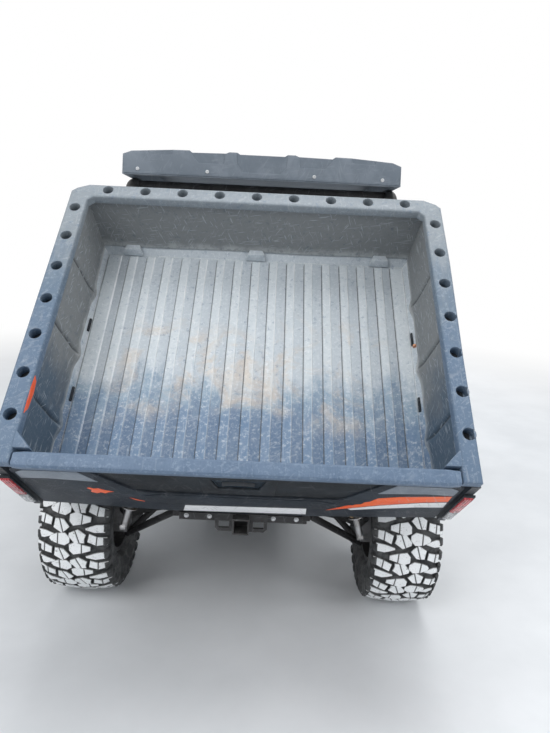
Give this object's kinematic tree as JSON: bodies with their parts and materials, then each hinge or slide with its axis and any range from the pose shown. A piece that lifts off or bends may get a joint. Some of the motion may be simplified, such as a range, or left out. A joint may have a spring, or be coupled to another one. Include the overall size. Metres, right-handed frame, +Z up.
{
  "type": "side by side utility vehicle",
  "caption": "Side by side utility vehicle with an open cab under a moulded roof, independent suspension and a tipping cargo bed with a folding tailgate, shown tipped up.",
  "frame": {"origin": "on the ground, midway along and across the vehicle with its bed tipped up", "axes": "+X to the vehicle's right, +Y forward, +Z up"},
  "size_m": [1.6, 3.3488, 1.9703],
  "materials": {
    "tyre": "dusty black rubber, lug tops dusted pale",
    "rim": "satin black",
    "frame_paint": "satin black powder coat, dusty",
    "bare_steel": "machined",
    "cast_metal": "rough cast",
    "spring_paint": "tan yellow enamel, dusty",
    "roof_plastic": "moulded slate grey",
    "body_plastic": "moulded charcoal",
    "bed_plastic": "moulded grey, scuffed and dusty",
    "rail_plastic": "moulded pale grey, weathered",
    "floor_plastic": "textured black",
    "seat_vinyl": "grained vinyl",
    "grip_rubber": "soft grip",
    "lamp_red": "ribbed lens",
    "lamp_clear": "clear lens"
  },
  "bodies": {
    "root": {"frame_ladder": "frame_paint", "frame_rear": "frame_paint", "skid_plate": "floor_plastic", "drive_train": "cast_metal", "muffler": "bare_steel", "half_shafts": "bare_steel", "rear_knuckles": "cast_metal", "suspension_arms": "frame_paint", "dampers": "bare_steel", "springs": "spring_paint", "steering_rack": "cast_metal", "steering_column": "floor_plastic", "cage": "frame_paint", "roof": "roof_plastic", "floor_tub": "floor_plastic", "seat_base": "floor_plastic", "seat_cushion": "seat_vinyl", "seat_back": "seat_vinyl", "dash": "floor_plastic", "hood": "body_plastic", "front_fenders": "body_plastic", "front_fascia": "body_plastic", "grille": "body_plastic", "headlamps": "lamp_clear", "radiator": "frame_paint", "front_bumper": "frame_paint", "strut_bracket": "frame_paint", "hitch_receiver": "frame_paint"},
    "bed": {"bed_liner": "bed_plastic", "bed_frame": "frame_paint", "bed_skins": "body_plastic", "tail_lamps": "lamp_red"},
    "tailgate": {"tailgate_panel": "body_plastic", "tailgate_cap": "rail_plastic", "tailgate_handle": "body_plastic"},
    "lift_barrel": {"lift_barrel": "frame_paint"},
    "lift_rod": {"lift_rod": "bare_steel"},
    "knuckle_left": {"front_knuckle_left": "cast_metal"},
    "knuckle_right": {"front_knuckle_right": "cast_metal"},
    "tie_rods": {"tie_rods": "bare_steel"},
    "steering_wheel": {"steering_wheel": "grip_rubber"},
    "wheel_front_left": {"tyre_front_left": "tyre", "rim_front_left": "rim"},
    "wheel_front_right": {"tyre_front_right": "tyre", "rim_front_right": "rim"},
    "wheel_rear_left": {"tyre_rear_left": "tyre", "rim_rear_left": "rim"},
    "wheel_rear_right": {"tyre_rear_right": "tyre", "rim_rear_right": "rim"}
  },
  "joints": [
    {"name": "bed_tilt", "type": "hinge", "parent": "root", "child": "bed", "pos_m": [0, -1.19257, 0.74], "axis": [-1, 0, 0], "range_deg": [0, 47]},
    {"name": "tailgate_fold", "type": "hinge", "parent": "bed", "child": "tailgate", "pos_m": [0, -1.41233, 0.65096], "axis": [1, 0, 0], "range_deg": [0, 90]},
    {"name": "strut_swing", "type": "hinge", "parent": "root", "child": "lift_barrel", "pos_m": [0.182, -1.01257, 0.44], "axis": [-1, 0, 0], "range_deg": [0, 20.02]},
    {"name": "strut_slide", "type": "slide", "parent": "lift_barrel", "child": "lift_rod", "axis": [0, 0.0595, 0.9982], "range_m": [-0.2009, 0]},
    {"name": "steering_turn", "type": "hinge", "parent": "root", "child": "steering_wheel", "pos_m": [-0.37, 0.46126, 1.04517], "axis": [0, -0.8192, 0.5736], "range_deg": [-270, 270]},
    {"name": "knuckle_left_turn", "type": "hinge", "parent": "root", "child": "knuckle_left", "pos_m": [-0.53, 1.14443, 0.343], "axis": [0, 0, 1], "range_deg": [-28.01, 28.01]},
    {"name": "knuckle_right_turn", "type": "hinge", "parent": "root", "child": "knuckle_right", "pos_m": [0.53, 1.14443, 0.343], "axis": [0, 0, 1], "range_deg": [-28.01, 28.01]},
    {"name": "rack_slide", "type": "slide", "parent": "root", "child": "tie_rods", "axis": [1, 0, 0], "range_m": [-0.04235, 0.04235]},
    {"name": "wheel_front_left_spin", "type": "hinge", "parent": "knuckle_left", "child": "wheel_front_left", "pos_m": [-0.66, 1.14443, 0.343], "axis": [-1, 0, 0], "continuous": true},
    {"name": "wheel_front_right_spin", "type": "hinge", "parent": "knuckle_right", "child": "wheel_front_right", "pos_m": [0.66, 1.14443, 0.343], "axis": [-1, 0, 0], "continuous": true},
    {"name": "wheel_rear_left_spin", "type": "hinge", "parent": "root", "child": "wheel_rear_left", "pos_m": [-0.66, -0.91257, 0.343], "axis": [-1, 0, 0], "continuous": true},
    {"name": "wheel_rear_right_spin", "type": "hinge", "parent": "root", "child": "wheel_rear_right", "pos_m": [0.66, -0.91257, 0.343], "axis": [-1, 0, 0], "continuous": true}
  ],
  "couplings": [
    {"joint": "strut_swing", "follows": "bed_tilt", "ratio": 0.42585},
    {"joint": "strut_slide", "follows": "bed_tilt", "m_per_rad": -0.24466},
    {"joint": "knuckle_left_turn", "follows": "steering_turn", "ratio": 0.1037},
    {"joint": "knuckle_right_turn", "follows": "steering_turn", "ratio": 0.1037},
    {"joint": "rack_slide", "follows": "steering_turn", "m_per_rad": 0.008966}
  ]
}
